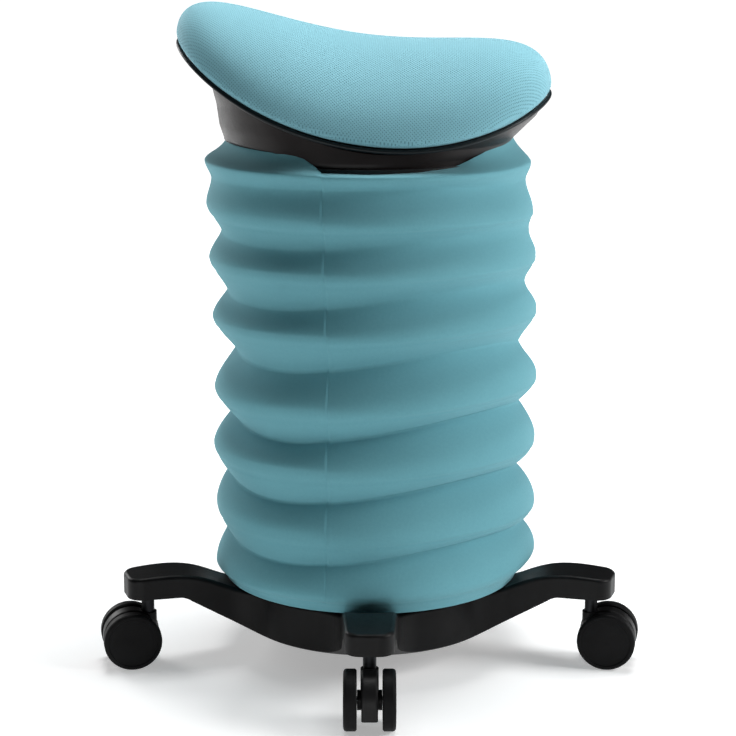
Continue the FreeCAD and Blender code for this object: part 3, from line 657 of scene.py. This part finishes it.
# coil spring between its two seats
def coil(name, radius, wire, z0, z1, turns, m=12):
    n = int(turns * 48)
    t = np.linspace(0, turns * 2 * math.pi, n + 1)
    zc = z0 + wire + (z1 - z0 - 2 * wire) * t / t[-1]
    pitch = (z1 - z0 - 2 * wire) / turns
    tang = np.stack([-radius * np.sin(t), radius * np.cos(t), np.full_like(t, pitch / (2 * math.pi))], -1)
    tang /= np.linalg.norm(tang, axis=1, keepdims=True)
    rad = np.stack([np.cos(t), np.sin(t), 0 * t], -1)
    bi = np.cross(tang, rad)
    a = np.linspace(0, 2 * math.pi, m, endpoint=False)
    c = np.stack([radius * np.cos(t), radius * np.sin(t), zc], -1)
    v = c[:, None] + wire * (np.cos(a)[None, :, None] * rad[:, None] + np.sin(a)[None, :, None] * bi[:, None])
    v = v.reshape(-1, 3)
    f = ring_faces(n + 1, m)
    v = np.concatenate([v, c[:1], c[-1:]])
    e0, e1 = len(v) - 2, len(v) - 1
    for k in range(m):
        q = (k + 1) % m
        f.append((e0, q, k))
        f.append((e1, n * m + k, n * m + q))
    o = mesh_object(name, v * MM, f)
    finish_normals(o)
    return o


spring = coil("spring", 44.0, 4.4, 135.2, 424.8, 9.0)
dress(spring, "bright_steel")
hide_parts("coil_spring")
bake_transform(spring)


# rubber ring round the tilting joint, in two halves that meet at the pivot
def turned(name, points, n=96):
    t = np.linspace(0, 2 * math.pi, n, endpoint=False)
    v = np.array([[(r * math.cos(a), r * math.sin(a), z) for a in t] for r, z in points]).reshape(-1, 3)
    o = mesh_object(name, v * MM, ring_faces(len(points), n, closed_rows=True))
    finish_normals(o)
    return o


lo_half = [(47.2, 68.3), (47.2, 76), (47.2, 84), (47.2, 92), (47.2, 99.6), (57.4, 99.6), (57.6, 92), (58.4, 84), (60.4, 78), (61.8, 74), (61.8, 68.3)]
hi_half = [(47.2, 99.6), (47.2, 107), (47.2, 115), (47.2, 123), (47.2, 130.5), (61.8, 130.5), (61.8, 125), (60.2, 121), (58.4, 115), (57.6, 107), (57.4, 99.6)]
for name, pts, a, b, s, e in (("lean_ring_lower", lo_half, "turntable", "cross", 0.0690, 0.0990),
                              ("lean_ring_upper", hi_half, "cross", "column", 0.1002, 0.1300)):
    o = turned(name, pts)
    dress(o, "rubber")
    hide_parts("lean_buffer")
    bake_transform(o)


# ------------------------------------------------------------------ cushion
def disc_grid(n):
    """Even quads over the unit disc: disc coordinates of an (n+1) x (n+1) grid."""
    g = np.linspace(-1, 1, n + 1)
    p, q = np.meshgrid(g, g, indexing="ij")
    return p * np.sqrt(1 - q * q / 2), q * np.sqrt(1 - p * p / 2)


def cushion_shape(dx, dy, under=False):
    """Seat axes position for points of the unit disc."""
    tau = np.clip(np.hypot(dx, dy), 0, 1)
    ang = np.arctan2(dy, dx)
    rho = np.sin(math.pi / 2 * tau) if not under else tau
    bx, by = outline(ang)
    x, y = bx * rho, by * rho
    if under:
        return x, y, rim(x, y) + 0.4
    h = crown(x, rho)
    tuck = 2.6 * np.clip(1 - h / 5.0, 0, 1) ** 2
    rr = np.maximum(np.hypot(x, y), 1e-6)
    k = 1 - tuck / rr
    x, y = x * k, y * k
    return x, y, rim(x, y) + h + 0.4


def cushion_uv(x, y):
    """Arc lengths along the length and down the sides, in metres."""
    xs = np.linspace(-SEAT_A, SEAT_A, 400)
    zt = rim(xs, 0) + crown(xs, np.clip(np.abs(xs) / SEAT_A, 0, 1))
    s = np.concatenate([[0], np.cumsum(np.hypot(np.diff(xs), np.diff(zt)))])
    s -= np.interp(0, xs, s)
    u = np.interp(x, xs, s)
    v = np.zeros_like(y)
    w = np.array([0.0])
    m = 60
    prev_y, prev_z = np.zeros_like(y), rim(x, 0 * y) + crown(x, np.clip(rho_of(x, 0 * y), 0, 1))
    for i in range(1, m + 1):
        yy = y * math.sin(math.pi / 2 * i / m)
        zz = rim(x, yy) + crown(x, np.clip(rho_of(x, yy), 0, 1))
        v += np.hypot(yy - prev_y, zz - prev_z)
        prev_y, prev_z = yy, zz
    return np.stack([u * MM, np.sign(y) * v * MM], -1)


n = 72
dx, dy = disc_grid(n)
tx, ty, tz = cushion_shape(dx, dy)
ux, uy, uz = cushion_shape(dx, dy, True)
index_top = np.arange((n + 1) ** 2).reshape(n + 1, n + 1)
edge = np.zeros((n + 1, n + 1), bool)
edge[0] = edge[-1] = edge[:, 0] = edge[:, -1] = True
index_bot = np.full((n + 1, n + 1), -1)
index_bot[edge] = index_top[edge]
free = ~edge
index_bot[free] = (n + 1) ** 2 + np.arange(free.sum())
top_pts = np.stack([tx, ty, tz], -1).reshape(-1, 3)
# underside: from the tucked edge inwards on the saddle surface
shrink = 0.975
bot_pts = np.stack([ux * shrink, uy * shrink, rim(ux * shrink, uy * shrink) + 0.4], -1)[free]
pts = np.concatenate([top_pts, bot_pts])
uv_all = cushion_uv(pts[:, 0], pts[:, 1])
faces = []
for i in range(n):
    for j in range(n):
        faces.append((index_top[i, j], index_top[i + 1, j], index_top[i + 1, j + 1], index_top[i, j + 1]))
        faces.append((index_bot[i, j], index_bot[i, j + 1], index_bot[i + 1, j + 1], index_bot[i + 1, j]))
world = place(pts[:, 0], pts[:, 1], pts[:, 2])
cushion = mesh_object("seat_cushion", world, faces, uv_all)
finish_normals(cushion)
sub = cushion.modifiers.new("smooth", "SUBSURF")
sub.levels = sub.render_levels = 1
applied(cushion)
dress(cushion, "seat_mesh")
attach(cushion, "saddle")
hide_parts("seat_cover", "seat_foam")


# ------------------------------------------------------------------- piping
def tube_along(name, centre, radius, m=14):
    """Closed tube round a closed line of points, in millimetres, seat axes."""
    n = len(centre)
    tang = np.roll(centre, -1, 0) - np.roll(centre, 1, 0)
    tang /= np.linalg.norm(tang, axis=1, keepdims=True)
    upv = np.array([0, 0, 1.0])
    side = np.cross(tang, upv)
    side /= np.linalg.norm(side, axis=1, keepdims=True)
    up2 = np.cross(side, tang)
    a = np.linspace(0, 2 * math.pi, m, endpoint=False)
    v = centre[:, None] + radius * (np.cos(a)[None, :, None] * side[:, None] + np.sin(a)[None, :, None] * up2[:, None])
    v = v.reshape(-1, 3)
    f = ring_faces(n, m, closed_rows=True)
    return v, f


t = np.linspace(0, 2 * math.pi, 520, endpoint=False)
px, py = outline(t, 1.7)
line = np.stack([px, py, rim(px, py) - 1.9], -1)
v, f = tube_along("piping", line, 1.85)
w = place(v[:, 0], v[:, 1], v[:, 2])
piping = mesh_object("rim_piping", w, f)
finish_normals(piping)
dress(piping, "piping")
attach(piping, "saddle")
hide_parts("seat_piping")


# -------------------------------------------------------------------- skirt
def skirt_section(z, t):
    """Reach of the skirt at a height, by angle, in the seat's axes."""
    zs = (430.0, 443.0, 452.0, 463.0, 472.0, 482.0, 505.0, 530.0, 560.0)
    xl = np.interp(z, zs, (119.0, 119.5, 120.0, 123.5, 124.5, 125.5, 131.0, 144.0, 153.5))
    xr = np.interp(z, zs, (123.5, 124.0, 126.0, 137.0, 146.0, 151.5, 153.0, 153.5, 153.5))
    rb = np.interp(z, zs, (119.6, 119.8, 118.6, 117.5, 117.5, 117.6, 117.8, 117.9, 117.9))
    k = np.clip((z - 443.0) / 117.0, 0, 1)
    nn = 2.0 + (SEAT_N - 2.0) * np.minimum(1.0, 2.5 * k)
    c, s = np.cos(t), np.sin(t)
    kk = (np.abs(c) ** nn + np.abs(s) ** nn) ** (-1 / nn)
    ax = 0.5 * (xl + xr)
    return ax * c * kk + 0.5 * (xr - xl), rb * s * kk


def skirt_grid(cols=420, rows=26):
    t = np.linspace(0, 2 * math.pi, cols, endpoint=False)
    ox, oy = outline(t, 8.0)
    ztop = rim(ox, oy) - 4.9
    for _ in range(12):
        ox, oy = skirt_section(ztop, t)
        ztop = 0.5 * (ztop + rim(ox, oy) - 4.9)
    side = np.abs(np.cos(t))
    bx, by = skirt_section(np.full_like(t, 440.0), t)
    zbot = neck_height(bx + SEAT_CX) - 0.8
    G = np.zeros((rows + 1, cols, 3))
    for i in range(rows + 1):
        u = i / rows
        z = zbot + (ztop - zbot) * u
        x, y = skirt_section(z, t)
        G[i, :, 0] = x
        G[i, :, 1] = y
        G[i, :, 2] = z
    return t, G


t, G = skirt_grid()
Nn = np.cross(np.roll(G, -1, 1) - np.roll(G, 1, 1), np.gradient(G, axis=0))
Nn /= np.linalg.norm(Nn, axis=-1, keepdims=True) + 1e-12
if (Nn[..., 0] * G[..., 0] + Nn[..., 1] * G[..., 1]).mean() < 0:
    Nn = -Nn
Gi = G - Nn * 1.4
verts = np.concatenate([G.reshape(-1, 3), Gi[::-1].reshape(-1, 3)])
w = place(verts[:, 0], verts[:, 1], verts[:, 2])
skirt = mesh_object("vinyl_skirt", w, ring_faces(2 * len(G), G.shape[1], closed_rows=True))
finish_normals(skirt)
dress(skirt, "vinyl")
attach(skirt, "saddle")
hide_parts("seat_skirt")

# ------------------------------------------------------------ floor, lights
bpy.ops.mesh.primitive_plane_add(size=60.0, location=(0, 0, 0))
floor = bpy.context.object
floor.name = "floor"
m, tr, b = new_material("floor")
p = object_coords(tr)
tone = noise_of(tr, p, 0.6, 2.0)
split = node(tr, "ShaderNodeSeparateXYZ", Vector=p)
pale = mixed(tr, ranged(tr, tone, 0.3, 0.7, 0, 1), (0.80, 0.80, 0.80, 1), (0.83, 0.83, 0.83, 1))
# out of view in front the floor is darker, so it bounces less light onto the stool
tr.links.new(mixed(tr, ranged(tr, split.outputs[1], -0.75, -0.30, 0.0, 1.0, True), (0.42, 0.42, 0.42, 1), pale), b.inputs["Base Color"])
b.inputs["Roughness"].default_value = 0.9
b.inputs["Specular IOR Level"].default_value = 0.1
b.inputs["Emission Color"].default_value = (1, 1, 1, 1)
# painted light: the floor glows, faintly near the stool and more towards the back, in place of a lit paper sweep; the
# fainter glow round the stool is a painted shadow
away = node(tr, "ShaderNodeVectorMath", _operation="LENGTH", i0=p)
painted_glow = ranged(tr, away.outputs["Value"], 0.36, 1.3, 0.36, 1.1, True)
back = ranged(tr, split.outputs[1], -0.8, -0.30, 0.0, 1.0, True)
tr.links.new(maths(tr, "MULTIPLY", painted_glow, back), b.inputs["Emission Strength"])
floor.data.materials.append(m)

world_ = bpy.data.worlds.new("studio")
world_.use_nodes = True
world_.node_tree.nodes["Background"].inputs[0].default_value = (0.95, 0.98, 1.0, 1)
world_.node_tree.nodes["Background"].inputs[1].default_value = 0.03
SCENE.world = world_


def softbox(name, where, at, size, power, colour=(1, 1, 1)):
    d = bpy.data.lights.new(name, "AREA")
    d.shape = "RECTANGLE"
    d.size, d.size_y = size
    d.energy = power
    d.color = colour
    o = bpy.data.objects.new(name, d)
    SCENE.collection.objects.link(o)
    o.location = where
    o.rotation_euler = (Vector(at) - Vector(where)).to_track_quat("-Z", "Y").to_euler()
    return o


softbox("key_right", (1.95, -0.40, 1.2), (0, 0, 0.3), (0.9, 1.0), 35.0)
softbox("top_back", (0.1, 0.45, 2.3), (0, 0, 0.4), (1.5, 1.0), 49.0)
softbox("rim_left", (-1.45, 1.55, 0.9), (0, 0, 0.3), (0.8, 1.0), 18.0)
softbox("front_low", (-0.35, -1.25, 0.11), (0, 0, 0.28), (1.1, 0.16), 3.9)
